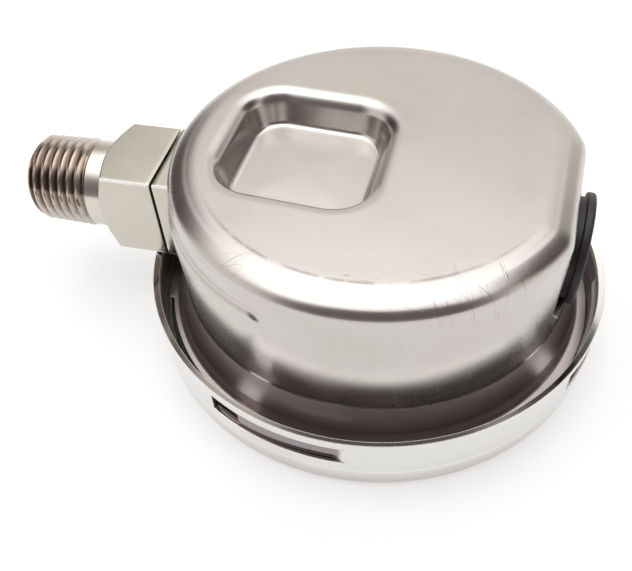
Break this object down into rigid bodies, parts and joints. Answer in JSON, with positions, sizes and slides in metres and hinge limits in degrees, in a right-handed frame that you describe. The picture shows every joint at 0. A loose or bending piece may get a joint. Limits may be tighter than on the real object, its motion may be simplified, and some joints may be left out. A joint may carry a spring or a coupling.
{
  "type": "pressure gauge",
  "caption": "Round Bourdon-tube pressure gauge with a bayonet bezel, glass window, blow-out plug and a threaded side socket with a square wrench block.",
  "frame": {"origin": "centre of the window's outer face, on the dial's axis", "axes": "+Z along the dial's axis towards the back of the gauge, -X along the threaded socket; seen from the front +X is up and +Y is right"},
  "size_m": [0.0884, 0.069, 0.0312],
  "materials": {
    "case_steel": "satin drawn stainless steel",
    "bezel_steel": "polished stainless steel",
    "socket_steel": "machined stainless steel",
    "window_glass": "clear flat glass",
    "black_rubber": "moulded black rubber",
    "movement_brass": "stamped and machined brass",
    "tube_bronze": "drawn bronze tube",
    "spring_bronze": "fine spring bronze strip",
    "screw_steel": "turned steel",
    "dial_white": "matt white enamel with black scale",
    "pointer_black": "satin black enamel"
  },
  "bodies": {
    "gauge": {"case": "case_steel", "window": "window_glass", "window_gasket": "black_rubber", "socket": "socket_steel", "socket_spacer": "socket_steel", "socket_seal": "black_rubber", "restrictor_screw": "movement_brass", "bourdon_tube": "tube_bronze", "movement_front_plate": "movement_brass", "movement_back_plate": "movement_brass", "movement_pillar_1": "movement_brass", "movement_pillar_2": "movement_brass", "movement_pillar_3": "movement_brass", "movement_screw_1": "screw_steel", "movement_screw_2": "screw_steel", "hairspring": "spring_bronze", "hairspring_stud": "movement_brass", "dial_plate": "dial_white", "dial_post_left": "movement_brass", "dial_screw_left": "screw_steel", "dial_post_right": "movement_brass", "dial_screw_right": "screw_steel", "zero_stop_pin": "screw_steel"},
    "bezel": {"bezel_ring": "bezel_steel"},
    "plug": {"blowout_plug": "black_rubber"},
    "tip": {"tube_tip": "tube_bronze", "tip_pin": "screw_steel"},
    "sector": {"sector_gear": "movement_brass", "sector_arbor": "screw_steel", "link_screw": "screw_steel"},
    "link": {"link": "movement_brass"},
    "pointer": {"pointer": "pointer_black", "pointer_hub": "pointer_black", "pinion_arbor": "screw_steel", "hairspring_collet": "movement_brass"}
  },
  "joints": [
    {"name": "bezel_turn", "type": "hinge", "parent": "gauge", "child": "bezel", "pos_m": [0, 0, 0], "axis": [0, 0, 1], "range_deg": [-40, 0]},
    {"name": "plug_blowout", "type": "slide", "parent": "gauge", "child": "plug", "axis": [0.9962, -0.0872, 0], "range_m": [0, 0.006]},
    {"name": "sector_swing", "type": "hinge", "parent": "gauge", "child": "sector", "pos_m": [-0.00734, 0.00893, 0.0145], "axis": [0, 0, 1], "range_deg": [-27, 0], "stiffness_Nm_per_rad": 0.0005},
    {"name": "pointer_spin", "type": "hinge", "parent": "gauge", "child": "pointer", "pos_m": [0, 0, 0.0145], "axis": [0, 0, 1], "range_deg": [0, 270]},
    {"name": "link_swing", "type": "hinge", "parent": "sector", "child": "link", "pos_m": [-0.00879, 0.01519, 0.0156], "axis": [0, 0, 1], "range_deg": [0, 32.75]},
    {"name": "tip_flex", "type": "hinge", "parent": "gauge", "child": "tip", "pos_m": [0.00636, -0.00488, 0.0174], "axis": [0, 0, 1], "range_deg": [-7.15, 0], "deforming": ["bourdon_tube"]}
  ],
  "couplings": [
    {"joint": "pointer_spin", "follows": "sector_swing", "ratio": -10},
    {"joint": "link_swing", "follows": "sector_swing", "ratio": -1.2126},
    {"joint": "tip_flex", "follows": "sector_swing", "ratio": 0.2647}
  ]
}
